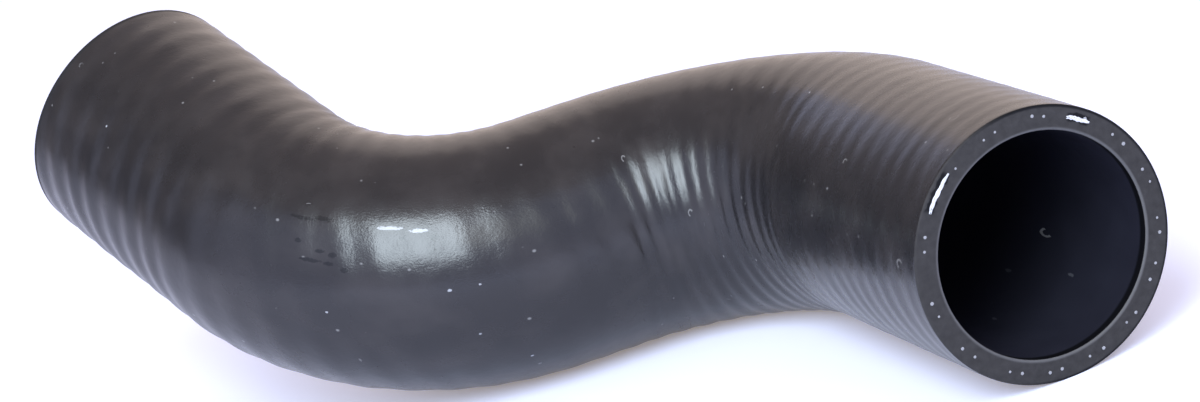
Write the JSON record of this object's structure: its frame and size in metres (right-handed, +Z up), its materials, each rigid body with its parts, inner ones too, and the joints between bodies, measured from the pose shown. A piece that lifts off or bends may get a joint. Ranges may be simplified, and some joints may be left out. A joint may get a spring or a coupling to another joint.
{
  "type": "radiator hose",
  "caption": "Moulded rubber coolant hose with two bends in different planes and plain cut ends, for joining an engine outlet to a radiator stub.",
  "frame": {"origin": "under the middle of the hose's box, on the plane that it lies on", "axes": "+Z up from the floor, +Y from the near end's cut face along its leg, the longest way of the hose, +X to the outside of the first bend"},
  "size_m": [0.155, 0.1916, 0.0789],
  "materials": {
    "rubber": "satin black moulded EPDM with fine wrap ripples"
  },
  "bodies": {
    "root": {"hose": "rubber"}
  },
  "joints": []
}
